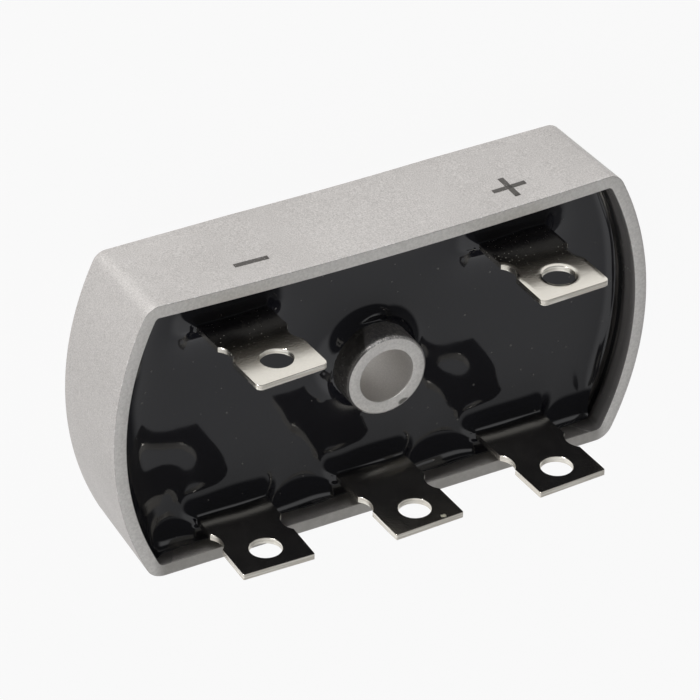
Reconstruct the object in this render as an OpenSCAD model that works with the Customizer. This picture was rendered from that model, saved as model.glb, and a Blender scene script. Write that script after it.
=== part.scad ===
// Three-phase bridge rectifier module.
// A die-cast aluminium shell with a hollow centre boss is filled with black
// epoxy. Five flat terminals stand out of the epoxy: two for the direct
// current along one long wall, three for the phases along the other.
// Inside, three phase plates lie on a ceramic sheet. Each plate carries two
// diode chips, and two bus strips join the tops of the chips in two rows.
// The frame: mounting face at Z = 0, screw axis on Z, +Y towards the DC side.

/* [Case] */
// Length of the case over its two round ends, at the rim
case_length = 60; // [56:0.5:66]
// Width of the case at the rim
case_width = 32; // [31.5:0.1:36]
// Height of the case from mounting face to rim
case_height = 12.1; // [11.5:0.1:14]
// Radius of the round ends, at the rim
end_radius = 34; // [30.5:0.5:40]
// Radius of the four upright corners, at the rim
corner_radius = 2.1; // [2:0.1:3]
// Thickness of the side walls
wall = 1.4; // [1:0.1:1.5]
// Thickness of the bottom under the ceramic sheet
floor_thick = 2.5; // [2:0.1:3]
// How far the walls draw in from rim to mounting face, for release from the die
draft_depth = 0.5; // [0.3:0.05:0.55]
// How far the DC side wall has drawn inwards at the middle of its rim
wall_bow = 0.6; // [0.3:0.05:0.8]
// Length over which the DC side wall has drawn inwards
bow_length = 52; // [48:1:54]

/* [Screw boss] */
// Diameter of the boss around the screw hole
boss_d = 8.9; // [8:0.1:9.2]
// Diameter of the screw hole
bore_d = 6; // [4.5:0.1:6.5]
// Radius of the rounded outer edge of the boss
boss_edge = 0.35; // [0.1:0.05:0.5]

/* [Terminals] */
// Width of a terminal
terminal_width = 7.8; // [7:0.1:8.5]
// Thickness of the terminal strip
terminal_thick = 0.7; // [0.5:0.05:0.8]
// Height of the terminal ends above the mounting face
terminal_top = 20.8; // [20:0.1:23]
// How much lower the first phase terminal stands, from the place of its bend
phase_1_drop = 0.9; // [0:0.1:1.2]
// How much higher the third phase terminal stands, from the place of its bend
phase_3_rise = 0.4; // [0:0.1:1.2]
// Distance between neighbouring terminals' places
terminal_pitch = 15.9; // [15.5:0.05:16.5]
// How far the negative terminal was soldered off its place, towards +X
negative_shift = 0.45; // [-0.5:0.05:0.5]
// How far the third phase terminal was soldered off its place, towards +X
phase_3_shift = 0.4; // [-0.5:0.05:0.5]
// Distance from the DC side's rim to the outer face of the DC terminals
dc_setback = 5.5; // [5.4:0.05:5.7]
// Distance from the other side's rim to the inner face of the phase terminals
ac_setback = 3.5; // [3.2:0.05:3.7]
// Diameter of the hole in a terminal
eye_d = 3.35; // [2.5:0.05:4]
// Distance from the hole's centre to the terminal's end
eye_edge = 2.95; // [2.5:0.05:3.5]
// Length of the negative terminal's soldered foot
foot_length = 3.5; // [3:0.1:3.6]
// Gap between the feet of the phase terminals and the chips
foot_gap = 0.8; // [0.7:0.05:1]
// Inner radius of the bend between foot and leg
bend_radius = 0.4; // [0.3:0.05:0.6]
// Depth of the two notches that narrow a terminal above the rim
notch_depth = 0.6; // [0.4:0.05:0.9]
// Length of a notch along the edge
notch_length = 2.8; // [2:0.1:3.2]
// Distance from a notch's centre to the terminal's end
notch_edge = 6; // [5.6:0.1:6.4]
// Corner radius of the DC terminals' ends
dc_corner = 0.5; // [0.2:0.05:1]
// Corner radius of the phase terminals' ends
ac_corner = 0.15; // [0.1:0.05:0.5]

/* [Circuit] */
// Thickness of the ceramic sheet
ceramic_thick = 0.6; // [0.4:0.05:0.8]
// Gap between the ceramic sheet and the side walls or the boss
ceramic_gap = 0.3; // [0.2:0.05:0.35]
// How far the ceramic sheet reaches past the outer phase plates
ceramic_end = 2; // [1:0.5:2.5]
// Thickness of the copper plates and bus strips
copper_thick = 0.5; // [0.3:0.05:0.6]
// Width of a phase plate
plate_width = 12; // [11.5:0.1:12.5]
// Side of a square diode chip
chip_size = 3.8; // [3:0.1:4]
// Thickness of a diode chip with its solder
chip_thick = 0.4; // [0.3:0.05:0.5]
// Gap between the screw boss and the rows of chips
chip_gap = 0.65; // [0.55:0.05:0.7]
// How far a phase plate reaches past its upper chip
plate_edge = 0.9; // [0.8:0.05:1]
// Width of a bus strip
bus_width = 3.6; // [3.2:0.1:3.8]
// Width of the negative bus where it runs round the left end of the circuit
arm_width = 2.6; // [2:0.1:2.8]
// Insulating gap around the screw boss and between copper pieces
creep_gap = 0.6; // [0.5:0.05:0.65]

/* [Filling] */
// Height of the soft silicone over the chips, above the mounting face
silicone_top = 5.8; // [5.7:0.05:6.2]
// Height of the flat epoxy surface above the mounting face
epoxy_top = 7.6; // [7:0.1:9]
// How far the epoxy climbs the boss and the terminals
collar_climb = 1.2; // [0.6:0.1:1.4]
// Width of the collars where the epoxy climbs
collar_width = 1; // [0.6:0.05:1.1]

/* [Hidden] */
$fn = 64;
eps = 0.01;

// Places of the terminals: one entry for each column along X
columns = [-terminal_pitch, 0, terminal_pitch];
phase_shifts = [0, 0, phase_3_shift];
phase_tops = [terminal_top - phase_1_drop, terminal_top, terminal_top + phase_3_rise];
plus_x = terminal_pitch;
minus_x = negative_shift - terminal_pitch;

// Faces of the terminals along Y, outer on the DC side, inner on the other
dc_face_y = case_width / 2 - dc_setback;
ac_face_y = case_width / 2 - ac_setback;

// Levels of the stack above the mounting face
ceramic_top = floor_thick + ceramic_thick;
plate_top = ceramic_top + copper_thick;
chip_top = plate_top + chip_thick;
bus_top = chip_top + copper_thick;

// Centre of either end's arc, on the X axis
end_centre = end_radius - case_length / 2;
// Centre of a rounded corner, in the quarter with X and Y positive
corner_y = case_width / 2 - corner_radius;
corner_x = sqrt(pow(end_radius - corner_radius, 2) - pow(corner_y, 2)) - end_centre;
// Angle at which an end's arc meets its corner
end_angle = atan2(corner_y, corner_x + end_centre);

// How far the epoxy's collars run into what they climb, so that no gap is left
collar_sink = 0.06;

// Radius of the bowed DC wall
bow_radius = (pow(bow_length / 2, 2) + pow(wall_bow, 2)) / (2 * wall_bow);

// Rectangular ceramic sheet that carries the phase plates
ceramic_length = 2 * (terminal_pitch + plate_width / 2 + ceramic_end);
ceramic_width = case_width - 2 * (wall + max(draft_depth, wall_bow) + ceramic_gap);

// Distance from the screw axis to either row of chips
row_y = boss_d / 2 + chip_gap + chip_size / 2;
// Feet of the positive terminal and of the phase terminals
positive_foot = dc_face_y - row_y;
phase_foot = ac_face_y + terminal_thick - foot_gap - row_y - chip_size / 2;

// Edges of the phase plates along Y
plate_low_y = -(ac_face_y + terminal_thick);
plate_high_y = row_y + chip_size / 2 + plate_edge;
// Tongue of the negative bus that runs round to the negative terminal
pad_low_y = plate_high_y + creep_gap;
pad_high_y = dc_face_y - terminal_thick + foot_length;
bus_left = -terminal_pitch - plate_width / 2 - creep_gap;

function inset_at(z) = draft_depth * (case_height - z) / case_height;

// ---------- Case ----------

// Sector of a plane between two angles, big enough to cut the case's outline
module sector(from, to) {
  reach = case_length;
  polygon([
    [0, 0],
    [reach * cos(from), reach * sin(from)],
    [reach * cos((from + to) / 2), reach * sin((from + to) / 2)] * 2,
    [reach * cos(to), reach * sin(to)]
  ]);
}

// Piece of an upright cone between two angles: r0 at z0, r1 at z1
module cone_sector(r0, r1, z0, z1, from, to) {
  intersection() {
    translate([0, 0, z0]) cylinder(h = z1 - z0, r1 = r0, r2 = r1, $fn = 180);
    translate([0, 0, z0 - 1]) linear_extrude(z1 - z0 + 2) sector(from, to);
  }
}

// The case's outline as a solid from z0 to z1, drawn in by i0 and by i1 there
module outline_block(z0, z1, i0, i1) {
  y0 = case_width / 2 - i0;
  y1 = case_width / 2 - i1;
  rotate([90, 0, 90])
    translate([0, 0, -corner_x])
      linear_extrude(2 * corner_x)
        polygon([[-y0, z0], [y0, z0], [y1, z1], [-y1, z1]]);
  for (side = [0, 180]) rotate(side) {
    translate([-end_centre, 0, 0])
      cone_sector(end_radius - i0, end_radius - i1, z0, z1, -end_angle, end_angle);
    for (s = [0, 1]) mirror([0, s, 0])
      translate([corner_x, corner_y, 0])
        cone_sector(corner_radius - i0, corner_radius - i1, z0, z1, end_angle, 90);
  }
}

// Outside of the bowed DC wall, moved inwards by gap
module bow_cutter(gap) {
  translate([0, case_width / 2 - wall_bow + bow_radius, -case_height])
    cylinder(h = 3 * case_height, r = bow_radius + gap, $fn = 720);
}

// Space between the walls from z0 to z1
module inside(z0, z1) {
  i0 = inset_at(z0) + wall;
  i1 = inset_at(z1) + wall;
  y0 = case_width / 2 - i0;
  y1 = case_width / 2 - i1;
  difference() {
    intersection() {
      rotate([90, 0, 90]) linear_extrude(case_length, center = true)
        polygon([[-y0, z0], [y0, z0], [y1, z1], [-y1, z1]]);
      translate([-end_centre, 0, z0])
        cylinder(h = z1 - z0, r1 = end_radius - i0, r2 = end_radius - i1, $fn = 180);
      translate([end_centre, 0, z0])
        cylinder(h = z1 - z0, r1 = end_radius - i0, r2 = end_radius - i1, $fn = 180);
    }
    bow_cutter(wall);
  }
}

module boss_solid() {
  rotate_extrude($fn = 96) difference() {
    square([boss_d / 2, case_height]);
    translate([boss_d / 2 - boss_edge, case_height - boss_edge])
      difference() {
        square(boss_edge + eps);
        circle(boss_edge, $fn = 48);
      }
  }
}

module case() {
  color([0.76, 0.75, 0.74]) difference() {
    union() {
      difference() {
        outline_block(0, case_height, draft_depth, 0);
        bow_cutter(0);
        inside(floor_thick, case_height + 1);
      }
      boss_solid();
    }
    translate([0, 0, -1]) cylinder(h = case_height + 2, d = bore_d, $fn = 96);
  }
}

// ---------- Circuit ----------

module ceramic_sheet() {
  color([0.93, 0.92, 0.88]) translate([0, 0, floor_thick]) linear_extrude(ceramic_thick)
    difference() {
      square([ceramic_length, ceramic_width], center = true);
      circle(d = boss_d + 2 * ceramic_gap, $fn = 96);
    }
}

// Copper plate of one phase; the middle one is pierced for the boss
module phase_plate(x) {
  color([0.78, 0.48, 0.34]) difference() {
    translate([x - plate_width / 2, plate_low_y, ceramic_top])
      cube([plate_width, plate_high_y - plate_low_y, copper_thick]);
    translate([0, 0, ceramic_top - 1])
      cylinder(h = copper_thick + 2, r = boss_d / 2 + creep_gap, $fn = 96);
  }
}

module diode_chip(x, y) {
  color([0.35, 0.36, 0.40])
    translate([x - chip_size / 2, y - chip_size / 2, plate_top])
      cube([chip_size, chip_size, chip_thick]);
}

// Strip over the lower row of chips, with an arm round the end of the circuit
module negative_bus() {
  bus_right = terminal_pitch + chip_size / 2;
  color([0.78, 0.48, 0.34]) translate([0, 0, chip_top]) linear_extrude(copper_thick)
    polygon([
      [bus_left - arm_width, -row_y - bus_width / 2],
      [bus_right, -row_y - bus_width / 2],
      [bus_right, -row_y + bus_width / 2],
      [bus_left, -row_y + bus_width / 2],
      [bus_left, pad_low_y],
      [minus_x + terminal_width / 2, pad_low_y],
      [minus_x + terminal_width / 2, pad_high_y],
      [bus_left - arm_width, pad_high_y]
    ]);
}

// Straight strip over the upper row of chips
module positive_bus() {
  color([0.78, 0.48, 0.34])
    translate([columns[0] - chip_size / 2, row_y - bus_width / 2, chip_top])
      cube([2 * terminal_pitch + (terminal_width + chip_size) / 2, bus_width, copper_thick]);
}

// ---------- Terminals ----------

// Bent strip seen from its edge: foot on the X axis, leg along Y at X = 0
module terminal_side(leg_height, foot) {
  outer = bend_radius + terminal_thick;
  translate([outer, 0]) square([foot - outer, terminal_thick]);
  translate([0, outer]) square([terminal_thick, leg_height - outer]);
  intersection() {
    square(outer);
    translate([outer, outer]) difference() {
      circle(outer);
      circle(bend_radius);
    }
  }
}

// Strip seen from its face, with its eye, notches and rounded end corners
module terminal_face(leg_height, corner) {
  half = terminal_width / 2;
  notch_radius = (pow(notch_length / 2, 2) + pow(notch_depth, 2)) / (2 * notch_depth);
  difference() {
    union() {
      translate([-half, -1]) square([terminal_width, leg_height - corner + 1]);
      translate([-half + corner, 0]) square([terminal_width - 2 * corner, leg_height]);
      for (s = [-1, 1]) translate([s * (half - corner), leg_height - corner]) circle(corner);
    }
    translate([0, leg_height - eye_edge]) circle(d = eye_d);
    for (s = [-1, 1])
      translate([s * (half - notch_depth + notch_radius), leg_height - notch_edge])
        circle(notch_radius);
  }
}

// Terminal whose leg's outer face is at the origin and whose foot points to -Y
module terminal(foot_level, top, corner, foot) {
  leg_height = top - foot_level;
  color([0.80, 0.78, 0.73]) translate([0, 0, foot_level]) intersection() {
    translate([-terminal_width / 2, 0, 0]) rotate([90, 0, 90]) mirror([1, 0, 0])
      linear_extrude(terminal_width) terminal_side(leg_height, foot);
    rotate([90, 0, 0]) linear_extrude(2 * foot, center = true)
      terminal_face(leg_height, corner);
  }
}

module terminal_positive()
  translate([plus_x, dc_face_y, 0]) terminal(bus_top, terminal_top, dc_corner, positive_foot);

module terminal_negative()
  translate([minus_x, dc_face_y - terminal_thick, 0]) mirror([0, 1, 0])
    terminal(bus_top, terminal_top, dc_corner, foot_length);

module terminal_phase(k)
  translate([columns[k] + phase_shifts[k], -ac_face_y - terminal_thick, 0])
    mirror([0, 1, 0]) terminal(plate_top, phase_tops[k], ac_corner, phase_foot);

module circuit() {
  ceramic_sheet();
  for (x = columns) {
    phase_plate(x);
    diode_chip(x, -row_y);
    diode_chip(x, row_y);
  }
  for (k = [0:2]) terminal_phase(k);
  negative_bus();
  positive_bus();
  terminal_positive();
  terminal_negative();
}

// ---------- Filling ----------

module silicone_fill() {
  color([0.80, 0.82, 0.82, 0.6]) difference() {
    inside(floor_thick, silicone_top);
    boss_solid();
    circuit();
  }
}

// Section of a collar that climbs both sides of something half as wide as given
module collar_section(half) {
  foot = half + collar_width;
  knee = half + collar_width / 3;
  tip = half - collar_sink;
  polygon([
    [-foot, 0], [foot, 0], [knee, collar_climb / 3], [tip, collar_climb],
    [-tip, collar_climb], [-knee, collar_climb / 3]
  ]);
}

module boss_collar()
  rotate_extrude($fn = 96) intersection() {
    square(boss_d);
    collar_section(boss_d / 2);
  }

// Collar round a terminal that stands at the origin
module terminal_collar()
  intersection() {
    rotate([90, 0, 0]) linear_extrude(case_width, center = true)
      collar_section(terminal_width / 2);
    rotate([90, 0, 90]) linear_extrude(case_width, center = true)
      collar_section(terminal_thick / 2);
  }

module collars()
  translate([0, 0, epoxy_top]) {
    boss_collar();
    for (x = [minus_x, plus_x])
      translate([x, dc_face_y - terminal_thick / 2, 0]) terminal_collar();
    for (k = [0:2])
      translate([columns[k] + phase_shifts[k], -ac_face_y - terminal_thick / 2, 0])
        terminal_collar();
  }

module epoxy_fill() {
  color([0.05, 0.05, 0.055]) difference() {
    union() {
      inside(silicone_top, epoxy_top);
      intersection() {
        inside(silicone_top, epoxy_top + collar_climb);
        collars();
      }
    }
    boss_solid();
    terminal_positive();
    terminal_negative();
    for (k = [0:2]) terminal_phase(k);
  }
}

case();
ceramic_sheet();
phase_plate(columns[0]);  // phase_plate_1
phase_plate(columns[1]);  // phase_plate_2
phase_plate(columns[2]);  // phase_plate_3
diode_chip(columns[0], -row_y);  // diode_low_1
diode_chip(columns[1], -row_y);  // diode_low_2
diode_chip(columns[2], -row_y);  // diode_low_3
diode_chip(columns[0], row_y);  // diode_high_1
diode_chip(columns[1], row_y);  // diode_high_2
diode_chip(columns[2], row_y);  // diode_high_3
negative_bus();
positive_bus();
terminal_negative();
terminal_positive();
terminal_phase(0);  // terminal_phase_1
terminal_phase(1);  // terminal_phase_2
terminal_phase(2);  // terminal_phase_3
silicone_fill();
epoxy_fill();
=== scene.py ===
"""Looks of a three-phase bridge rectifier module: a cast aluminium shell with a
hollow screw boss, filled with black epoxy that five plated terminals stand out of."""
from math import asin, atan2, cos, hypot, pi, radians, sin, sqrt

import bmesh
import bpy
import numpy as np
from mathutils import Matrix, Vector
from mathutils.geometry import delaunay_2d_cdt


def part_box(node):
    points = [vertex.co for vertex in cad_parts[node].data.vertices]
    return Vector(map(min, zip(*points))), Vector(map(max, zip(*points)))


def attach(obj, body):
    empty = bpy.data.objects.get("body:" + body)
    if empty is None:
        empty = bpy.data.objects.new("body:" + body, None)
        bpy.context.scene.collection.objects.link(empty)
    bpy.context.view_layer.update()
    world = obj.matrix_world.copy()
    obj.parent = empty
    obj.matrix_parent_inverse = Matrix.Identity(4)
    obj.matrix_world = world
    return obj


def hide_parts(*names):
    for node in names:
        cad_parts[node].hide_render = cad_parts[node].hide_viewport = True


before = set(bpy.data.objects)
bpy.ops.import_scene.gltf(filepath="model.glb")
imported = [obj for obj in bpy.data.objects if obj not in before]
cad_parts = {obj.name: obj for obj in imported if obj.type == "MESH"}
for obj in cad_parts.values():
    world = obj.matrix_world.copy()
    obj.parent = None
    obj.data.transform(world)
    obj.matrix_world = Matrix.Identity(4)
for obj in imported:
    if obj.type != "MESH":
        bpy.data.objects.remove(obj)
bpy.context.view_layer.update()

# ---------- Cast shell ----------
# Die-cast aluminium tub with a hollow boss in its floor for the one screw. The
# casting is sandblasted all over; the rim and the boss's end are faced flat.
# Its edges are only as round as the die and the blasting leave them.
shell_low, shell_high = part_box("case")
HALF_LENGTH = shell_high.x
HALF_WIDTH = -shell_low.y
RIM = shell_high.z
END_RADIUS = 0.034
CORNER_RADIUS = 0.0021
WALL = 0.0014
TUB_FLOOR = 0.0025
DRAFT = 0.0005
BOW = 0.0006
BOW_HALF = 0.026
BOSS_RADIUS = 0.00445
BORE_RADIUS = 0.003

END_CENTRE = END_RADIUS - HALF_LENGTH
BOW_RADIUS = (BOW_HALF**2 + BOW**2) / (2 * BOW)
BOW_MIDDLE = HALF_WIDTH - BOW + BOW_RADIUS
CORNER_Y = HALF_WIDTH - CORNER_RADIUS
CORNER_X = sqrt((END_RADIUS - CORNER_RADIUS) ** 2 - CORNER_Y**2) - END_CENTRE
CORNER_ANGLE = atan2(CORNER_Y, CORNER_X + END_CENTRE)
LEAST_RADIUS = 0.00012
END_STEPS, CORNER_STEPS, WALL_STEPS = 26, 8, 36


def outline(inset, bow_inset):
    """One turn round the shell, drawn in by inset; the DC wall is bowed inwards."""
    radius = max(CORNER_RADIUS - inset, LEAST_RADIUS)
    end_radius = END_RADIUS - inset
    corner_x, corner_y = CORNER_X, HALF_WIDTH - inset - radius
    quarter = []
    for k in range(END_STEPS):
        a = CORNER_ANGLE * k / END_STEPS
        quarter.append((end_radius * cos(a) - END_CENTRE, end_radius * sin(a)))
    for k in range(CORNER_STEPS + 1):
        a = CORNER_ANGLE + (pi / 2 - CORNER_ANGLE) * k / CORNER_STEPS
        quarter.append((corner_x + radius * cos(a), corner_y + radius * sin(a)))
    for k in range(1, WALL_STEPS + 1):
        quarter.append((corner_x * (1 - k / WALL_STEPS), HALF_WIDTH - inset))
    half = quarter + [(-x, y) for x, y in quarter[-2::-1]]
    turn = half + [(x, -y) for x, y in half[-2:0:-1]]
    reach = BOW_RADIUS + bow_inset
    bowed = []
    for x, y in turn:
        limit = BOW_MIDDLE - sqrt(reach**2 - x**2)
        bowed.append((x, min(y, limit) if y > 0 else y))
    return np.array(bowed)


def draft_at(z):
    """How far the wall leans in at height z."""
    return DRAFT * (RIM - z) / RIM


def around(radius):
    """Circle whose points lie at the same bearings as the outline's."""
    turn = outline(0, 0)
    bearing = np.arctan2(turn[:, 1], turn[:, 0])
    return radius * np.stack([np.cos(bearing), np.sin(bearing)], axis=1)


def level(plan, z, zone):
    """A ring of points at height z, with the zone of the casting that it is on."""
    return np.column_stack([plan, np.full(len(plan), z)]), zone


OUTSIDE, TOP, INSIDE, BOSS_SIDE, BOSS_END, BORE, UNDERSIDE = range(7)
# Radius of each rounded edge, in the order in which the rings pass them
BASE_EDGE, RIM_EDGE, LIP_EDGE, BOSS_EDGE, BORE_EDGE = 0.0003, 0.00009, 0.00008, 0.00026, 0.00005
BORE_MOUTH = 0.0003
turns = [radians(a) for a in (0, 22.5, 45, 67.5, 90)]
rings = [level(around(r), 0, UNDERSIDE) for r in (BORE_RADIUS + BORE_MOUTH, 0.0045, 0.008)]
rings.append(level(outline(DRAFT + 0.003, 0.003), 0, UNDERSIDE))
for a in turns:
    z = BASE_EDGE * (1 - cos(a))
    inset = BASE_EDGE * (1 - sin(a))
    rings.append(level(outline(draft_at(z) + inset, inset), z, UNDERSIDE if a < 0.1 else OUTSIDE))
for z in np.linspace(BASE_EDGE, RIM - RIM_EDGE, 12)[1:-1]:
    rings.append(level(outline(draft_at(z), 0), z, OUTSIDE))
for a in turns:
    z = RIM - RIM_EDGE * (1 - sin(a))
    inset = RIM_EDGE * (1 - cos(a))
    rings.append(level(outline(draft_at(z) + inset, inset), z, OUTSIDE if a < 1.5 else TOP))
for a in turns:
    z = RIM - LIP_EDGE * (1 - cos(a))
    inset = WALL - LIP_EDGE * (1 - sin(a))
    rings.append(level(outline(draft_at(z) + inset, inset), z, TOP if a < 0.1 else INSIDE))
for z in np.linspace(RIM - LIP_EDGE, TUB_FLOOR, 13)[1:]:
    rings.append(level(outline(draft_at(z) + WALL, WALL), z, INSIDE))
rings += [level(around(r), TUB_FLOOR, INSIDE) for r in (0.009, BOSS_RADIUS + 0.0005, BOSS_RADIUS)]
for z in np.linspace(TUB_FLOOR, RIM - BOSS_EDGE, 11)[1:]:
    rings.append(level(around(BOSS_RADIUS), z, BOSS_SIDE))
for a in turns[1:]:
    z = RIM - BOSS_EDGE * (1 - sin(a))
    radius = BOSS_RADIUS - BOSS_EDGE * (1 - cos(a))
    rings.append(level(around(radius), z, BOSS_SIDE if a < 1.5 else BOSS_END))
for a in turns:
    z = RIM - BORE_EDGE * (1 - cos(a))
    radius = BORE_RADIUS + BORE_EDGE * (1 - sin(a))
    rings.append(level(around(radius), z, BOSS_END if a < 0.1 else BORE))
for z in np.linspace(RIM - BORE_EDGE, BORE_MOUTH, 8)[1:]:
    rings.append(level(around(BORE_RADIUS), z, BORE))


def ringed_mesh(name, rings):
    """A closed tube of quads through the rings, whose last ring joins the first."""
    count = len(rings[0][0])
    points = np.vstack([points for points, zone in rings])
    faces = []
    for r in range(len(rings)):
        here, there = r * count, ((r + 1) % len(rings)) * count
        for k in range(count):
            m = (k + 1) % count
            faces.append((here + k, here + m, there + m, there + k))
    mesh = bpy.data.meshes.new(name)
    mesh.from_pydata(points.tolist(), [], faces)
    zones = np.repeat([float(zone) for points, zone in rings], count)
    mesh.attributes.new("zone", "FLOAT", "POINT").data.foreach_set("value", zones)
    return mesh


def piece(name, mesh, material):
    """An object at the origin that holds the mesh, rides the part and has a finish."""
    made = bpy.data.objects.new(name, mesh)
    bpy.context.scene.collection.objects.link(made)
    mesh.materials.clear()
    mesh.materials.append(material)
    mesh.shade_smooth()
    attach(made, "root")
    return made


def face_outwards(mesh):
    """Turns every face the right way out, by the sign of the mesh's volume."""
    work = bmesh.new()
    work.from_mesh(mesh)
    if work.calc_volume(signed=True) < 0:
        bmesh.ops.reverse_faces(work, faces=work.faces)
    work.to_mesh(mesh)
    work.free()


def plug(tree, value, socket):
    """Feeds an input with a rule, with another node's output or with a plain value."""
    if isinstance(value, Rule):
        value = value.socket
    if isinstance(value, bpy.types.NodeSocket):
        tree.links.new(value, socket)
    else:
        socket.default_value = value


class Rule:
    """A number in a node tree, so that a rule for a shape or a finish reads as a formula."""

    def __init__(self, tree, socket):
        self.tree, self.socket = tree, socket

    def worked(self, operation, *terms):
        node = self.tree.nodes.new("ShaderNodeMath")
        node.operation = operation
        for socket, term in zip(node.inputs, terms):
            plug(self.tree, term, socket)
        return Rule(self.tree, node.outputs[0])

    def __add__(self, other):
        return self.worked("ADD", self, other)

    def __sub__(self, other):
        return self.worked("SUBTRACT", self, other)

    def __rsub__(self, other):
        return self.worked("SUBTRACT", other, self)

    def __mul__(self, other):
        return self.worked("MULTIPLY", self, other)

    def __truediv__(self, other):
        return self.worked("DIVIDE", self, other)

    def __pow__(self, other):
        return self.worked("POWER", self, other)

    def root(self):
        return self.worked("SQRT", self)

    def exp(self):
        return self.worked("EXPONENT", self)

    def size(self):
        return self.worked("ABSOLUTE", self)

    def least(self, other):
        return self.worked("MINIMUM", self, other)

    def most(self, other):
        return self.worked("MAXIMUM", self, other)

    def sine(self):
        return self.worked("SINE", self)

    def cosine(self):
        return self.worked("COSINE", self)

    def over(self, other):
        return self.worked("GREATER_THAN", self, other)

    def ramp(self, low, high):
        """0 below low, 1 above high, with a soft turn between; high may be the lower one."""
        node = self.tree.nodes.new("ShaderNodeMapRange")
        node.interpolation_type = "SMOOTHSTEP"
        for socket, term in zip(node.inputs, (self, low, high, 0.0, 1.0)):
            plug(self.tree, term, socket)
        return Rule(self.tree, node.outputs[0])


class Finish:
    """A material with one Principled shader, fed by patterns on the piece's own points."""

    def __init__(self, name, **values):
        self.material = bpy.data.materials.new(name)
        self.material.use_nodes = True
        self.tree = self.material.node_tree
        self.shader = self.tree.nodes["Principled BSDF"]
        for key, value in values.items():
            self.shader.inputs[key.replace("_", " ")].default_value = value
        self.place = self.tree.nodes.new("ShaderNodeTexCoord").outputs["Object"]
        split = self.tree.nodes.new("ShaderNodeSeparateXYZ")
        self.tree.links.new(self.place, split.inputs[0])
        self.x, self.y, self.z = (Rule(self.tree, s) for s in split.outputs)

    def stretched(self, x, y, z):
        """The points with each axis scaled, for a pattern that runs in one direction."""
        node = self.tree.nodes.new("ShaderNodeMapping")
        node.inputs["Scale"].default_value = (x, y, z)
        self.tree.links.new(self.place, node.inputs["Vector"])
        return node.outputs[0]

    def noise(self, grain, detail=2.0, roughness=0.5, place=None):
        """Cloudy pattern from 0 to 1 whose blotches are about grain metres across."""
        node = self.tree.nodes.new("ShaderNodeTexNoise")
        node.inputs["Scale"].default_value = 1 / grain
        node.inputs["Detail"].default_value = detail
        node.inputs["Roughness"].default_value = roughness
        self.tree.links.new(place or self.place, node.inputs["Vector"])
        return Rule(self.tree, node.outputs[0])

    def specks(self, spacing, size, share):
        """1 in small round specks: one in each cell of the given share of cells."""
        node = self.tree.nodes.new("ShaderNodeTexVoronoi")
        node.inputs["Scale"].default_value = 1 / spacing
        self.tree.links.new(self.place, node.inputs["Vector"])
        split = self.tree.nodes.new("ShaderNodeSeparateColor")
        self.tree.links.new(node.outputs["Color"], split.inputs[0])
        chosen = Rule(self.tree, split.outputs[0]).ramp(1 - share, 1 - share + 0.001)
        reach = Rule(self.tree, split.outputs[1]) * (size / spacing)
        return Rule(self.tree, node.outputs["Distance"]).ramp(reach, reach * 0.5) * chosen

    def attribute(self, name):
        node = self.tree.nodes.new("ShaderNodeAttribute")
        node.attribute_name = name
        return Rule(self.tree, node.outputs["Fac"])

    def blend(self, share, under, over):
        """Colour under where share is 0 and over where it is 1."""
        node = self.tree.nodes.new("ShaderNodeMix")
        node.data_type = "RGBA"
        plug(self.tree, share, node.inputs["Factor"])
        for name, colour in (("A", under), ("B", over)):
            plain = isinstance(colour, tuple)
            plug(self.tree, (*colour, 1) if plain else colour, node.inputs[name])
        return node.outputs["Result"]

    def feed(self, name, source):
        """Drives one of the shader's inputs from a colour or a rule."""
        plug(self.tree, source, self.shader.inputs[name])

    def relief(self, *layers):
        """Bumps: each layer is a rule from 0 to 1 and the depth it stands for."""
        height = None
        for rule, depth in layers:
            height = rule * depth if height is None else height + rule * depth
        node = self.tree.nodes.new("ShaderNodeBump")
        node.inputs["Distance"].default_value = 1.0
        plug(self.tree, height, node.inputs["Height"])
        self.tree.links.new(node.outputs[0], self.shader.inputs["Normal"])


cast = Finish("blasted aluminium", Metallic=0.75, IOR=1.45)
zone = cast.attribute("zone")


def on_zone(number, soft):
    """1 on one zone of the casting and 0 on the others; soft widens the turn."""
    return zone.ramp(number - soft, number - 0.1) * zone.ramp(number + soft, number + 0.1)


on_top, on_end = on_zone(TOP, 0.5), on_zone(BOSS_END, 0.5)
inner, boss_side, on_bore = on_zone(INSIDE, 0.6), on_zone(BOSS_SIDE, 0.6), on_zone(BORE, 0.6)

# Blasted metal: fine grit with a few pitted spots, and painted glints as light specks
grit = cast.noise(0.00013, 3, 0.65)
mottle = cast.noise(0.0009, 3, 0.6)
cloud = cast.noise(0.009, 2, 0.5)
painted_glints = cast.specks(0.0004, 0.00009, 0.10)
pits = cast.specks(0.0016, 0.00018, 0.08)
tone = grit * 0.50 + mottle * 0.06 + cloud * 0.08
bare = cast.blend(tone.ramp(0.18, 0.46), (0.42, 0.402, 0.388), (0.68, 0.655, 0.637))
# Painted glints: light specks painted into the colour
bare = cast.blend(painted_glints * 0.5, bare, (0.86, 0.84, 0.82))
bare = cast.blend(pits * 0.6, bare, (0.20, 0.18, 0.16))

# Faced metal on the rim, the boss's end and in the bore; the phase side's rim is darkened with
# painted shade
CLEAN_METAL = (0.90, 0.88, 0.85)
scored = cast.noise(0.0003, 3, 0.6).ramp(0.3, 0.7)
faced = cast.blend(scored, (0.76, 0.742, 0.712), CLEAN_METAL)
# Painted shade on the phase side's rim
phase_rim_painted_shade = cast.y.ramp(-0.0134, -0.0142) * cast.x.size().ramp(0.0262, 0.0245)
faced = cast.blend(phase_rim_painted_shade * (mottle * 0.5 + 0.7), faced, (0.40, 0.385, 0.36))
bare = cast.blend(on_top.most(on_end) * 0.8, bare, faced)
bare = cast.blend(on_bore * 0.5, bare, CLEAN_METAL)
# Painted shade: the walls inside the tub are darkened
bare = cast.blend(inner * 0.6, bare, (0.13, 0.122, 0.115))

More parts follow.
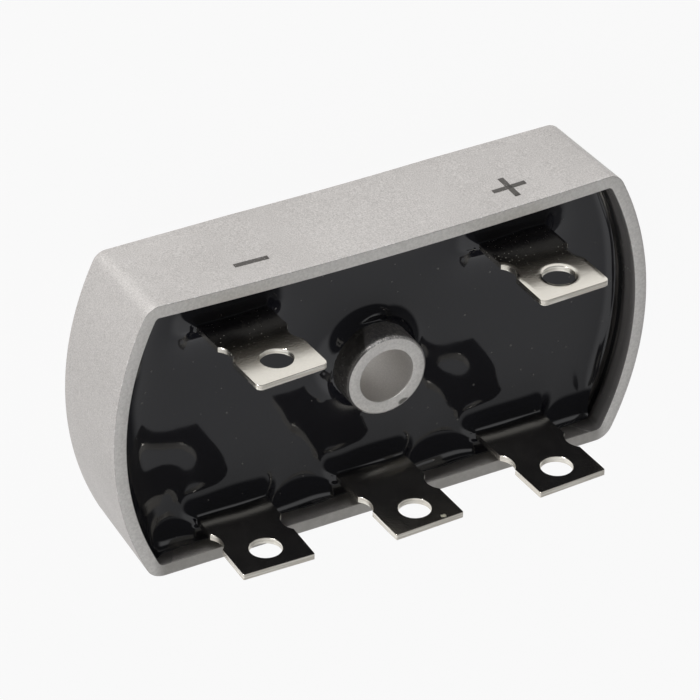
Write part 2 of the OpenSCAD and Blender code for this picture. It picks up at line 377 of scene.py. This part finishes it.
# Wear on the rim's outer edge, blows on the boss's edge, scuffs and one oily stain
edge_wear = (cast.z.ramp(RIM - 0.00022, RIM - 0.0001) * zone.ramp(0.9, 0.3)
             * cast.noise(0.0005, 2, 0.7).ramp(0.56, 0.64) * 0.4)
bare = cast.blend(edge_wear, bare, (0.95, 0.94, 0.93))
smear = cast.noise(0.003, 1, 0.4)
struck = cast.noise(0.0002, 2, 0.7, cast.stretched(1, 1, 0.35)).ramp(0.5, 0.62)
bruised = (struck * cast.z.ramp(RIM - 0.0009, RIM - 0.0004) * cast.y.ramp(0.0, 0.002)
           * cast.x.ramp(0.0035, 0.001) * zone.ramp(2.4, 2.9) * zone.ramp(4.2, 3.8))
bare = cast.blend(bruised * 0.85, bare, CLEAN_METAL)
scuffed = cast.noise(0.0003, 3, 0.7).ramp(0.42, 0.56)
bare = cast.blend(scuffed * boss_side * (1.0 - bruised) * 0.4, bare, (0.20, 0.20, 0.215))
STAIN_X, STAIN_Y = 0.00205, -0.00368
stain_x, stain_y = cast.x - STAIN_X, cast.y - STAIN_Y
stain = (stain_x * stain_x + stain_y * stain_y * 2.5).root() + (smear - 0.5) * 0.0006
bare = cast.blend(stain.ramp(0.0008, 0.0005) * on_end * 0.85, bare, (0.10, 0.095, 0.085))

# Film of resin that wetted the walls and the boss before the filling set, with painted reflection
# bands and painted shade on it
EPOXY_LEVEL = 0.0076
FILM_TOP, BOSS_FILM_TOP = EPOXY_LEVEL + 0.0009, 0.0086
MILLIMETRES = 1000
NEARLY_BLACK = (0.022, 0.020, 0.019)
wetted_wall = cast.x.size().ramp(0.021, 0.025).most(cast.y.ramp(0.0115, 0.013))
film = (FILM_TOP - cast.z) * MILLIMETRES + (smear - 0.5) * 0.8 + wetted_wall * 4.2
boss_film = ((BOSS_FILM_TOP - cast.z) * MILLIMETRES + (smear - 0.5) * 2.0
             + cast.x.ramp(-0.0004, -0.0034) * 4.5)
coated = (film.ramp(-0.15, 0.15) * inner).most(boss_film.ramp(-0.5, 0.6) * boss_side * 0.93)
off_boss = 1.0 - boss_side
runs = cast.noise(0.0007, 3, 0.6, cast.stretched(0.08, 0.08, 1))
patchy = cast.noise(0.0006, 4, 0.7) * boss_side + runs * off_boss
resin_skin = cast.blend(patchy.ramp(0.36, 0.68), NEARLY_BLACK, (0.125, 0.115, 0.108))
# Painted reflection: a lighter band on the film below the rim
painted_bright_band = cast.z.ramp(0.0100, 0.0106) * off_boss * 0.8
resin_skin = cast.blend(painted_bright_band, resin_skin, (0.17, 0.163, 0.16))
resin_skin = cast.blend(boss_side * 0.6, resin_skin, (0.022, 0.020, 0.016))
# Painted reflection and shade: a dark band on the film, and darkness towards its bottom
painted_dark_bands = cast.z.ramp(0.0090, 0.0094) * cast.z.ramp(0.0101, 0.0097)
painted_dark_bands = painted_dark_bands.most(cast.z.ramp(0.0086, 0.0080)) * off_boss
resin_skin = cast.blend(painted_dark_bands, resin_skin, (0.004, 0.004, 0.0042))
cast.feed("Base Color", cast.blend(coated, bare, resin_skin))
cast.feed("Metallic", coated.ramp(1, 0) * 0.75)
cast.feed("Roughness", coated.ramp(1, 0) * 0.28 + 0.22 + mottle * 0.08)
cast.relief((grit, 0.00004), (mottle, 0.00001), (coated, 0.00003), (patchy * coated, 0.00003))

shell_mesh = ringed_mesh("cast_shell", rings)
face_outwards(shell_mesh)
shell = piece("cast_shell", shell_mesh, cast.material)
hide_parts("case")

# ---------- Circuit under the filling ----------
# White ceramic sheet with three etched copper plates, six soldered diode chips
# and two copper strips over them. The filling hides all of it from outside.
ceramic = Finish("fired ceramic", Roughness=0.45, IOR=1.6)
speckled = ceramic.noise(0.0007, 4)
ceramic.feed("Base Color", ceramic.blend(speckled, (0.80, 0.79, 0.75), (0.90, 0.89, 0.86)))
ceramic.relief((ceramic.noise(0.00012, 3), 0.000008))
copper = Finish("tarnished copper", Metallic=1.0)
rolled = copper.noise(0.0004, 3, 0.6, copper.stretched(0.15, 1, 1))
tarnish = copper.noise(0.003, 4)
copper.feed("Base Color", copper.blend(tarnish, (0.62, 0.30, 0.18), (0.80, 0.46, 0.33)))
copper.feed("Roughness", rolled * 0.25 + 0.22)
copper.relief((rolled, 0.000006))
chip = Finish("passivated chip", Metallic=0.4)
stained = chip.noise(0.0009, 3)
chip.feed("Base Color", chip.blend(stained, (0.12, 0.125, 0.14), (0.22, 0.225, 0.24)))
chip.feed("Roughness", chip.noise(0.0003, 2) * 0.2 + 0.25)
gel = Finish("silicone gel", Roughness=0.12, IOR=1.41, Transmission_Weight=0.85)
gel.feed("Base Color", gel.blend(gel.noise(0.004, 2), (0.80, 0.83, 0.83), (0.88, 0.90, 0.90)))
hidden_finishes = {"ceramic": ceramic, "phase_plate": copper, "diode": chip, "silicone": gel,
                   "negative_bus": copper, "positive_bus": copper}
for node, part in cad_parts.items():
    for start, finish in hidden_finishes.items():
        if node.startswith(start):
            part.data.materials.clear()
            part.data.materials.append(finish.material)

# ---------- Terminals ----------
# Five strips of nickel-plated copper, sheared and punched from 0.7 mm sheet, then
# bent to a foot that is soldered to the circuit. Each stands a little differently.
STRIP_WIDTH = 0.0078
STRIP_THICK = 0.0007
BEND = 0.0004
EYE = 0.00335
EYE_EDGE = 0.00295
NOTCH_EDGE = 0.006
NOTCH_DEPTH = 0.0006
NOTCH_LENGTH = 0.0028
NOTCH_RADIUS = ((NOTCH_LENGTH / 2) ** 2 + NOTCH_DEPTH**2) / (2 * NOTCH_DEPTH)
BURR = 0.00003

bent_strip = bpy.data.node_groups.new("bent strip", "GeometryNodeTree")
bent_strip.interface.new_socket("Blank", in_out="INPUT", socket_type="NodeSocketGeometry")
for label in ("Thickness", "Bend radius", "Foot length", "Waviness", "Wave length"):
    bent_strip.interface.new_socket(label, in_out="INPUT", socket_type="NodeSocketFloat")
bent_strip.interface.new_socket("Material", in_out="INPUT", socket_type="NodeSocketMaterial")
bent_strip.interface.new_socket("Geometry", in_out="OUTPUT", socket_type="NodeSocketGeometry")


def add(tree, kind, feeds, **settings):
    """Adds a node, sets its properties and feeds its inputs, given by name or number."""
    node = tree.nodes.new(kind)
    for key, value in settings.items():
        setattr(node, key, value)
    for key, value in feeds.items():
        plug(tree, value, node.inputs[key])
    return node


def point(tree, x, y, z):
    """A place in a tree, put together from its three numbers."""
    return add(tree, "ShaderNodeCombineXYZ", {0: x, 1: y, 2: z}).outputs[0]


def given_to(tree):
    """The tree's inputs: numbers as rules and the rest as sockets, by name."""
    outputs = tree.nodes.new("NodeGroupInput").outputs
    return {s.name: Rule(tree, s) if s.type == "VALUE" else s for s in outputs if s.name}


def finish_tree(tree, made, material):
    """Ends a tree: instances made real, material set."""
    real = add(tree, "GeometryNodeRealizeInstances", {0: made})
    dressed = add(tree, "GeometryNodeSetMaterial", {0: real.outputs[0], "Material": material})
    out = tree.nodes.new("NodeGroupOutput")
    tree.links.new(dressed.outputs[0], out.inputs[0])


def worked(mesh, tree, inputs):
    """The mesh after a tree has worked on it with the given inputs."""
    host = bpy.data.objects.new(mesh.name, mesh)
    bpy.context.scene.collection.objects.link(host)
    modifier = host.modifiers.new(tree.name, "NODES")
    modifier.node_group = tree
    labels = tree.interface.items_tree
    sockets = {i.name: i.identifier for i in labels if i.in_out == "INPUT"}
    for label, value in inputs.items():
        modifier[sockets[label]] = value
    depsgraph = bpy.context.evaluated_depsgraph_get()
    made = bpy.data.meshes.new_from_object(host.evaluated_get(depsgraph), depsgraph=depsgraph)
    bpy.data.objects.remove(host)
    return made


def grown(name, tree, inputs):
    """The mesh that a tree makes from nothing but its inputs."""
    return worked(bpy.data.meshes.new(name), tree, inputs)


# The blank's foot stays flat up to the bend, the bend is a quarter turn at the
# middle of the strip's thickness, and what is left over stands up as the leg.
given = given_to(bent_strip)
thick, foot = given["Thickness"], given["Foot length"]
place = bent_strip.nodes.new("GeometryNodeInputPosition").outputs[0]
split = add(bent_strip, "ShaderNodeSeparateXYZ", {0: place})
sideways, depth, along = (Rule(bent_strip, out) for out in split.outputs)
wave = add(bent_strip, "ShaderNodeTexNoise", {
    "Vector": place, "Scale": given["Wave length"] ** -1.0, "Detail": 1.0})
depth = depth * -1.0 + (Rule(bent_strip, wave.outputs[0]) - 0.5) * given["Waviness"]
outer = given["Bend radius"] + thick
start = foot - outer
arc = (outer - thick * 0.5) * (pi / 2)
turned = ((along - start) / arc).most(0.0).least(1.0) * (pi / 2)
bent_place = point(
    bent_strip, sideways,
    (outer - depth) * turned.sine() - outer + (along - start).least(0.0),
    outer - (outer - depth) * turned.cosine() + (along - start - arc).most(0.0))
bent = add(bent_strip, "GeometryNodeSetPosition", {0: given["Blank"], "Position": bent_place})
finish_tree(bent_strip, bent.outputs[0], given["Material"])

# Plate: bright and slightly cloudy on the faces, duller with shear lines on the cut
# edges, dusty below the eyes of the direct current strips, with one spot of flux
nickel = Finish("nickel plate", Metallic=1.0)
facing = nickel.tree.nodes.new("ShaderNodeSeparateXYZ")
outwards = nickel.tree.nodes.new("ShaderNodeNewGeometry").outputs["Normal"]
nickel.tree.links.new(outwards, facing.inputs[0])
facing_y, facing_z = (Rule(nickel.tree, facing.outputs[k]).size() for k in (1, 2))
sheared = facing_y.ramp(0.75, 0.5)
shear_lines = nickel.noise(0.0002, 2, 0.6, nickel.stretched(0.04, 1, 0.04)).ramp(0.42, 0.62)
drawn = nickel.noise(0.0005, 3, 0.6, nickel.stretched(1, 1, 0.12))
cloudy = nickel.noise(0.002, 3, 0.55)
grain = nickel.noise(0.00025, 3, 0.6)
dusty = (nickel.noise(0.004, 2, 0.5).ramp(0.35, 0.55)
         * nickel.z.ramp(0.0085, 0.0105) * nickel.z.ramp(0.0178, 0.0160))
dots = nickel.specks(0.00028, 0.00011, 0.5) * dusty * nickel.y.ramp(0.0, 0.001)
FLUX_X, FLUX_Z = 0.0021, 0.0203
flux_x, flux_z = nickel.x - FLUX_X, nickel.z - FLUX_Z
flux = ((flux_x * flux_x + flux_z * flux_z).root() + grain * 0.0005).ramp(0.0006, 0.0004)
plated = nickel.blend(cloudy * 0.5 + grain * 0.5, (0.70, 0.665, 0.59), (0.84, 0.81, 0.74))
plated = nickel.blend(flux * 0.8, plated, (0.66, 0.64, 0.52))
plated = nickel.blend(dots * 0.6, plated, (0.80, 0.78, 0.72))
edge = nickel.blend(shear_lines, (0.70, 0.66, 0.59), (0.88, 0.85, 0.78))
nickel.feed("Base Color", nickel.blend(sheared, plated, edge))
smooth = (cloudy * 0.06 + drawn * 0.04 + grain * 0.05 + 0.07 + dots * 0.5 + flux * 0.5
          + nickel.y.ramp(0.0, -0.001) * 0.05)
nickel.feed("Roughness", smooth + sheared * (facing_z * 0.26 + 0.04))
nickel.relief((cloudy, 0.00001), (grain, 0.000009), (dots, 0.00001),
              (sheared * shear_lines, 0.00002))


def clearance(u, v, length, corner, spare):
    """How far a point of the flat blank is from the nearest cut edge; below 0 in a hole."""
    half = STRIP_WIDTH / 2
    across, along = half - abs(u), length - v
    if across < corner and along < corner:
        rim = corner - hypot(corner - across, corner - along)
    else:
        rim = min(across, along, v)
    eye = hypot(u, v - length + EYE_EDGE + spare) - EYE / 2
    notch_u = abs(u) - half + NOTCH_DEPTH - NOTCH_RADIUS
    return min(rim, eye, hypot(notch_u, v - length + NOTCH_EDGE + spare) - NOTCH_RADIUS)


def cut_edges(length, corner, spare):
    """The blank's outer edge and its eye: loops of points, each with its inward normal."""
    half, notch_v = STRIP_WIDTH / 2, length - NOTCH_EDGE - spare
    side = [(half, v, -1, 0) for v in np.linspace(0, notch_v - NOTCH_LENGTH / 2, 40)[:-1]]
    opening = asin(NOTCH_LENGTH / 2 / NOTCH_RADIUS)
    for a in np.linspace(pi + opening, pi - opening, 19):
        u, v = cos(a), sin(a)
        notch_u = half - NOTCH_DEPTH + NOTCH_RADIUS * (1 + u)
        side.append((notch_u, notch_v + NOTCH_RADIUS * v, u, v))
    above = np.linspace(notch_v + NOTCH_LENGTH / 2, length - corner, 18)[1:-1]
    side += [(half, v, -1, 0) for v in above]
    for a in np.linspace(0, pi / 2, 9):
        u, v = cos(a), sin(a)
        side.append((half - corner * (1 - u), length - corner * (1 - v), -u, -v))
    foot_end = [(u, 0, 0, 1) for u in np.linspace(-half, half, 26)[1:-1]]
    far_end = [(u, length, 0, -1) for u in np.linspace(half - corner, corner - half, 24)[1:-1]]
    outer = foot_end + side + far_end + [(-u, v, -nu, nv) for u, v, nu, nv in side[::-1]]
    eye_v = length - EYE_EDGE - spare
    eye = [(EYE / 2 * cos(a), eye_v + EYE / 2 * sin(a), cos(a), sin(a))
           for a in np.linspace(0, 2 * pi, 57)[:-1]]
    return outer, eye


# Distances from the cut edge of the rows of points along it, and the grid inside them
EDGE_ROWS = (BURR, 0.00009, 0.00017, 0.00027, 0.00039, 0.00053)
INNER_FROM = 0.00065
INNER_STEP = 0.0004


def blank(name, length, corner, spare, roll, roll_reach):
    """A flat strip on X and Z: its face at y = 0 has edges that the press drew down."""
    shape = (length, corner, spare)
    points, edges = [], []
    for loop in cut_edges(*shape):
        first = len(points)
        points += [(u, v) for u, v, nu, nv in loop]
        edges += [(first + k, first + (k + 1) % len(loop)) for k in range(len(loop))]
    for loop in cut_edges(*shape):
        for reach in EDGE_ROWS:
            for u, v, nu, nv in loop:
                u, v = u + nu * reach, v + nv * reach
                if clearance(u, v, *shape) > reach * 0.93:
                    points.append((u, v))
    for u in np.arange(-0.0035, 0.0036, INNER_STEP):
        rows = np.arange(0.0003, length, INNER_STEP)
        points += [(u, v) for v in rows if clearance(u, v, *shape) > INNER_FROM]
    scaled = [Vector((u, v)) * MILLIMETRES for u, v in points]
    flat, flat_edges, triangles, *rest = delaunay_2d_cdt(scaled, edges, [], 0, 1e-5)
    flat = [(p.x / MILLIMETRES, p.y / MILLIMETRES) for p in flat]
    middles = [(sum(flat[i][0] for i in t) / 3, sum(flat[i][1] for i in t) / 3)
               for t in triangles]
    kept = [t for t, (u, v) in zip(triangles, middles) if clearance(u, v, *shape) > 1e-7]
    count = len(flat)
    near = [max(clearance(u, v, *shape), 0) for u, v in flat]
    burr = [max(BURR - d, 0) for d in near]
    drop = [roll * max(1 - d / roll_reach, 0) ** 2 + b for d, b in zip(near, burr)]
    verts = [(u, -d, v) for (u, v), d in zip(flat, drop)]
    verts += [(u, b - STRIP_THICK, v) for (u, v), b in zip(flat, burr)]
    faces = [tuple(t) for t in kept] + [tuple(i + count for i in t[::-1]) for t in kept]
    sides = {(t[k - 1], t[k]) for t in kept for k in range(3)}
    faces += [(b, a, a + count, b + count) for a, b in sides if (b, a) not in sides]
    mesh = bpy.data.meshes.new(name)
    mesh.from_pydata(verts, [], faces)
    work = bmesh.new()
    work.from_mesh(mesh)
    bmesh.ops.delete(work, geom=[v for v in work.verts if not v.link_faces], context="VERTS")
    work.to_mesh(mesh)
    work.free()
    return mesh


# Level of the pivot about which a strip leans, then for each strip: the side its
# foot points to, (corner radius, spare length, depth and reach of the die's roll),
# and (shift along X in metres, lean and nod in degrees) as it was soldered
STAND = 0.008
strips = {
    "negative": (1, (0.0006, 0.00025, 0.0001, 0.00045), (-0.00042, 3.1, 0.3)),
    "positive": (-1, (0.0006, 0.00025, 0.0001, 0.00045), (-0.00035, 2.1, 0.2)),
    "phase_1": (1, (0.00015, 0.0001, 0.00001, 0.0001), (0.00006, -1.4, -0.7)),
    "phase_2": (1, (0.00015, 0.0, 0.00001, 0.0001), (-0.0002, 2.3, 0.0)),
    "phase_3": (1, (0.00015, 0.0, 0.00001, 0.0001), (-0.0005, 3.0, 0.0))}
for label, (foot_side, cut, (shift, lean, nod)) in strips.items():
    low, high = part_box("terminal_" + label)
    foot_length, outer_bend = high.y - low.y, BEND + STRIP_THICK
    bend_length = (outer_bend - STRIP_THICK / 2) * pi / 2
    length = foot_length + high.z - low.z - 2 * outer_bend + bend_length + cut[1]
    flat_strip = blank("strip_" + label, length, *cut)
    mesh = worked(flat_strip, bent_strip, {
        "Thickness": STRIP_THICK, "Bend radius": BEND, "Foot length": foot_length,
        "Waviness": 0.000012, "Wave length": 0.004, "Material": nickel.material})
    if foot_side > 0:
        mesh.transform(Matrix.Rotation(pi, 4, "Z"))
    middle_x = (low.x + high.x) / 2
    leg_y = low.y if foot_side > 0 else high.y
    pivot = Vector((0, 0, STAND - low.z))
    turn = Matrix.Rotation(radians(lean), 4, "Y") @ Matrix.Rotation(radians(nod), 4, "X")
    stood = Vector((middle_x + shift, leg_y, STAND))
    mesh.transform(Matrix.Translation(stood) @ turn @ Matrix.Translation(-pivot))
    face_outwards(mesh)
    strip = piece("strip_" + label, mesh, nickel.material)
    mesh.set_sharp_from_angle(angle=radians(30))
    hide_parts("terminal_" + label)

# ---------- Epoxy filling ----------
# Black casting epoxy poured in over the gel and cured. It wets what it touches, so
# it climbs the walls, the boss and the terminals, and its top is not quite level.
EPOXY_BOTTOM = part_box("epoxy_fill")[0].z
GRID_ALONG, GRID_ACROSS = 330, 190

pour = bpy.data.node_groups.new("poured epoxy", "GeometryNodeTree")
for label in ("Half width", "End radius", "End centre", "Bow radius", "Bow middle", "Level",
              "Wall climb", "End climb", "Strip climb", "Boss climb",
              "Reach", "End reach", "Boss reach", "Edge climb", "Edge reach", "Boss radius"):
    pour.interface.new_socket(label, in_out="INPUT", socket_type="NodeSocketFloat")
for label in strips:
    pour.interface.new_socket("At " + label, in_out="INPUT", socket_type="NodeSocketVector")
pour.interface.new_socket("Material", in_out="INPUT", socket_type="NodeSocketMaterial")
pour.interface.new_socket("Geometry", in_out="OUTPUT", socket_type="NodeSocketGeometry")

# A square sheet from -1 to 1, whose points crowd towards the walls, fills the tub
given = given_to(pour)
sheet = add(pour, "GeometryNodeMeshGrid", {0: 2.0, 1: 2.0, 2: GRID_ALONG, 3: GRID_ACROSS})
place = pour.nodes.new("GeometryNodeInputPosition").outputs[0]
split = add(pour, "ShaderNodeSeparateXYZ", {0: place})
raw_x, raw_y = Rule(pour, split.outputs[0]), Rule(pour, split.outputs[1])
u, v = raw_x * 1.45 - raw_x ** 3.0 * 0.45, raw_y * 1.35 - raw_y ** 3.0 * 0.35
half_width, bow_radius = given["Half width"], given["Bow radius"]
end_radius, end_centre = given["End radius"], given["End centre"]
y = v * half_width
x = u * ((end_radius * end_radius - y * y).root() - end_centre)
bow_limit = given["Bow middle"] - (bow_radius * bow_radius - x * x).root()
y = y.least(bow_limit)

# Distance to each thing that the resin climbs, with how high and how far it does so
to_left = end_radius - ((x - end_centre) ** 2.0 + y * y).root()
to_right = end_radius - ((x + end_centre) ** 2.0 + y * y).root()
to_near, to_far = y + half_width, bow_limit - y
to_boss = ((x * x + y * y).root() - given["Boss radius"]).most(0.0)
reach, climb = given["Reach"], given["Wall climb"]
end_climb, end_reach = given["End climb"], given["End reach"]
boss_reach = given["Boss reach"] * (x.ramp(0.001, -0.004) * 0.65 + 1.0)
rises = [(to_right, end_climb, end_reach), (to_left, climb, reach),
         (to_near, climb, reach), (to_far, end_climb, end_reach),
         (to_boss, given["Boss climb"], boss_reach)]
for label in strips:
    at = add(pour, "ShaderNodeSeparateXYZ", {0: given["At " + label]})
    out_x = ((x - Rule(pour, at.outputs[0])).size() - STRIP_WIDTH / 2).most(0.0)
    out_y = ((y - Rule(pour, at.outputs[1])).size() - STRIP_THICK / 2).most(0.0)
    rises.append(((out_x * out_x + out_y * out_y).root(), given["Strip climb"], reach))

# The menisci run into each other; the wetting is uneven and the top a little swollen
RAGGED, SWELLS, SWELL_HEIGHT = 160.0, 90.0, 0.00006
ragged = add(pour, "ShaderNodeTexNoise", {
    "Vector": point(pour, x, y, 0.0), "Scale": RAGGED, "Detail": 0.0})
swell = add(pour, "ShaderNodeTexNoise", {
    "Vector": point(pour, x, y, 0.003), "Scale": SWELLS, "Detail": 1.0})
ragged, swell = Rule(pour, ragged.outputs[0]), Rule(pour, swell.outputs[0])
wet = ragged * 0.36 + 0.82
edge_climb, edge_reach = given["Edge climb"], given["Edge reach"]
lift = None
for away, rise, fade in rises:
    part = (away * -1.0 / fade).exp() * rise + (away * -1.0 / edge_reach).exp() * edge_climb
    part = part * wet
    part = part * part * part
    lift = part if lift is None else lift + part
z = given["Level"] + lift ** (1 / 3) + (swell - 0.5) * SWELL_HEIGHT
shaped = add(pour, "GeometryNodeSetPosition", {
    0: sheet.outputs[0], "Position": point(pour, x, y, z)})
in_boss = (given["Boss radius"] * 0.85).over((raw_x * raw_x + raw_y * raw_y).root())
holed = add(pour, "GeometryNodeDeleteGeometry", {0: shaped.outputs[0], 1: in_boss},
            domain="FACE")
finish_tree(pour, holed.outputs[0], given["Material"])

resin = Finish("black epoxy", IOR=1.5, Roughness=0.05)
dust = resin.specks(0.0011, 0.00017, 0.7)
haze = resin.noise(0.0025, 3, 0.55)
ripple = resin.noise(0.003, 1, 0.4)
resin.feed("Base Color", resin.blend(dust * 0.4, (0.0115, 0.0115, 0.0155), (0.30, 0.29, 0.27)))
resin.feed("Roughness", haze * 0.05 + 0.03 + dust * 0.4)
resin.relief((ripple, 0.00001), (haze, 0.000002))

# The filling runs a little into the walls, and its level sank as much while it cured
SINK = 0.0001
inputs = {
    "Half width": HALF_WIDTH - WALL - SINK, "End radius": END_RADIUS - WALL - SINK,
    "End centre": END_CENTRE, "Bow radius": BOW_RADIUS + WALL,
    "Bow middle": BOW_MIDDLE, "Level": EPOXY_LEVEL - SINK,
    "Wall climb": 0.0023, "Strip climb": 0.0015, "Reach": 0.0019,
    "End climb": 0.00075, "End reach": 0.0016,
    "Edge climb": 0.0004, "Edge reach": 0.0005,
    "Boss climb": 0.0013, "Boss reach": 0.0008, "Boss radius": BOSS_RADIUS,
    "Material": resin.material}
for label in strips:
    low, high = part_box("terminal_" + label)
    leg_y = low.y + STRIP_THICK / 2 if strips[label][0] > 0 else high.y - STRIP_THICK / 2
    inputs["At " + label] = ((low.x + high.x) / 2 + strips[label][2][0], leg_y, 0.0)
epoxy_mesh = grown("epoxy", pour, inputs)


def closed_down(mesh, bottom):
    """Closes a sheet with skirts down to a flat bottom."""
    work = bmesh.new()
    work.from_mesh(mesh)
    rim = [e for e in work.edges if e.is_boundary]
    grown_edges = bmesh.ops.extrude_edge_only(work, edges=rim)["geom"]
    for vert in (g for g in grown_edges if isinstance(g, bmesh.types.BMVert)):
        vert.co.z = bottom
    base = [e for e in work.edges if e.is_boundary]
    bmesh.ops.triangle_fill(work, edges=base, use_beauty=True)
    bmesh.ops.recalc_face_normals(work, faces=work.faces)
    work.to_mesh(mesh)
    work.free()


closed_down(epoxy_mesh, EPOXY_BOTTOM)
face_outwards(epoxy_mesh)
epoxy = piece("epoxy_pour", epoxy_mesh, resin.material)
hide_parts("epoxy_fill")

# ---------- Polarity marks ----------
# A minus and a plus stamped in grey ink on the DC wall. The ink is thin and the
# blasted metal shows through where it did not take.
INK = 0.000012
STROKE = 0.00062


def stroke_round(middle):
    """The two edges of a stroke whose middle line is given."""
    return middle - STROKE / 2, middle + STROKE / 2


# Each stroke: its name, its two ends or edges along X, and its bottom and top
strokes = [
    ("minus", (-0.01517, -0.01146), stroke_round(0.0087)),
    ("plus_level", (0.01357, 0.01728), stroke_round(0.00865)),
    ("plus_upright", stroke_round(0.01543), (0.00685, 0.01045))]
ink = Finish("stamped ink", Metallic=0.2, Roughness=0.6)
missed = ink.noise(0.00022, 3, 0.6).ramp(0.60, 0.72)
ink.feed("Base Color", ink.blend(missed * 0.8, (0.085, 0.078, 0.072), (0.45, 0.44, 0.42)))
ink.relief((missed, 0.00001))


def on_dc_wall(x, z, out):
    """The point at height z on the bowed DC wall, moved out of it by out."""
    bow = BOW_MIDDLE - sqrt(BOW_RADIUS**2 - x**2)
    return x, min(HALF_WIDTH - draft_at(z), bow) + out, z


for label, (left, right), (low_z, high_z) in strokes:
    work = bmesh.new()
    loops = []
    for x in np.linspace(left, right, 13):
        loop = [on_dc_wall(x, z, INK) for z in np.linspace(low_z, high_z, 7)]
        loop += [on_dc_wall(x, z, -SINK) for z in np.linspace(high_z, low_z, 7)]
        loops.append([work.verts.new(p) for p in loop])
    for here, there in zip(loops, loops[1:]):
        for k in range(len(here)):
            m = (k + 1) % len(here)
            work.faces.new((here[k], here[m], there[m], there[k]))
    work.faces.new(loops[0])
    work.faces.new(loops[-1])
    bmesh.ops.recalc_face_normals(work, faces=work.faces)
    mesh = bpy.data.meshes.new("mark_" + label)
    work.to_mesh(mesh)
    work.free()
    piece("mark_" + label, mesh, ink.material)

# ---------- Table, light and camera ----------
# White table, a pale light tent that is open and dark above the camera's side, two
# low soft lamps beside the printed wall and the negative end, and one long lens.
TABLE_HALF = 3
corners = [(x * TABLE_HALF, y * TABLE_HALF, 0) for x, y in ((-1, -1), (1, -1), (1, 1), (-1, 1))]
table_mesh = bpy.data.meshes.new("table")
table_mesh.from_pydata(corners, [], [(0, 1, 2, 3)])
table = bpy.data.objects.new("table", table_mesh)
bpy.context.scene.collection.objects.link(table)
paper = Finish("white paper", Roughness=0.9)
fibres = paper.noise(0.002, 3)
paper.feed("Base Color", paper.blend(fibres, (0.82, 0.82, 0.82), (0.84, 0.84, 0.84)))
table_mesh.materials.append(paper.material)


def seen_directly(tree):
    """1 for what the camera, a mirror or glass shows, 0 for the light on the object."""
    path = tree.nodes.new("ShaderNodeLightPath")
    kinds = ("Is Camera Ray", "Is Glossy Ray", "Is Transmission Ray")
    camera, mirror, glass = (Rule(tree, path.outputs[kind]) for kind in kinds)
    return camera.most(mirror).most(glass)


WHITENED = 0.92
white = paper.tree.nodes.new("ShaderNodeEmission")
both = paper.tree.nodes.new("ShaderNodeMixShader")
plug(paper.tree, seen_directly(paper.tree) * WHITENED, both.inputs[0])
paper.tree.links.new(paper.shader.outputs[0], both.inputs[1])
paper.tree.links.new(white.outputs[0], both.inputs[2])
paper.tree.links.new(both.outputs[0], paper.tree.nodes["Material Output"].inputs["Surface"])

world = bpy.data.worlds.new("light tent")
world.use_nodes = True
tree = world.node_tree
background = tree.nodes["Background"]
background.inputs["Color"].default_value = (0.985, 0.99, 1.0, 1)
direction = tree.nodes.new("ShaderNodeTexCoord").outputs["Generated"]
split = tree.nodes.new("ShaderNodeSeparateXYZ")
tree.links.new(direction, split.inputs[0])
sky_x, sky_y, sky_z = (Rule(tree, out) for out in split.outputs)

# Strength by direction: the tent's own, less where it is open, more in one window
# and in one corner. Seen directly, the opening is as white as the rest.
TENT, OPENED, BACKDROP = 0.57, 0.49, 0.94
opening = sky_y.ramp(-0.06, 0.1) * sky_z.ramp(0.03, 0.12)
window = (sky_y.over(0.0) * sky_x.ramp(0.0, 0.25) * sky_x.ramp(0.75, 0.55)
          * sky_z.ramp(0.20, 0.28) * sky_z.ramp(0.46, 0.36))
unlit = (sky_x.ramp(0.62, 0.76) * sky_z.ramp(0.03, 0.12)).most(opening)
corner_glow = sky_x.ramp(0.0, -0.35) * sky_y.ramp(0.1, -0.1) * sky_z.ramp(0.05, 0.3)
strength = unlit * -OPENED + TENT + window * 1.1 + corner_glow * 0.4
camera_ray = Rule(tree, tree.nodes.new("ShaderNodeLightPath").outputs["Is Camera Ray"])
to_camera = camera_ray * (unlit * OPENED + (BACKDROP - TENT))
plug(tree, strength + to_camera, background.inputs["Strength"])
bpy.context.scene.world = world


AIM = Vector((0, 0, 0.008))


def lamp(name, place, size, watts):
    """A soft rectangular lamp turned to the middle of the part."""
    light = bpy.data.lights.new(name, "AREA")
    light.shape = "RECTANGLE"
    light.size, light.size_y = size
    light.energy = watts
    holder = bpy.data.objects.new(name, light)
    holder.location = place
    holder.rotation_euler = (AIM - Vector(place)).to_track_quat("-Z", "Y").to_euler()
    bpy.context.scene.collection.objects.link(holder)


lamp("low lamp", (-0.35, 0.8, 0.025), (0.6, 0.05), 6.2)
lamp("side lamp", (-0.8, -0.05, 0.03), (0.5, 0.06), 0.4)

# Where the lens stands, and which way its right, its down and its view point
LENS_PLACE = (-0.189203, 0.264737, 0.347409)
RIGHTWARDS = (0.878738, 0.009833, 0.477202)
DOWNWARDS = (-0.261145, -0.826969, 0.497922)
AHEAD = (0.399527, -0.562162, -0.724122)
lens = bpy.data.cameras.new("long lens")
lens.sensor_width = 36
lens.lens = 243.32
viewer = bpy.data.objects.new("long lens", lens)
axes = Matrix((RIGHTWARDS, [-d for d in DOWNWARDS], [-a for a in AHEAD])).transposed()
viewer.matrix_world = Matrix.Translation(LENS_PLACE) @ axes.to_4x4()
bpy.context.scene.collection.objects.link(viewer)
bpy.context.scene.camera = viewer
bpy.context.scene.view_settings.view_transform = "Standard"
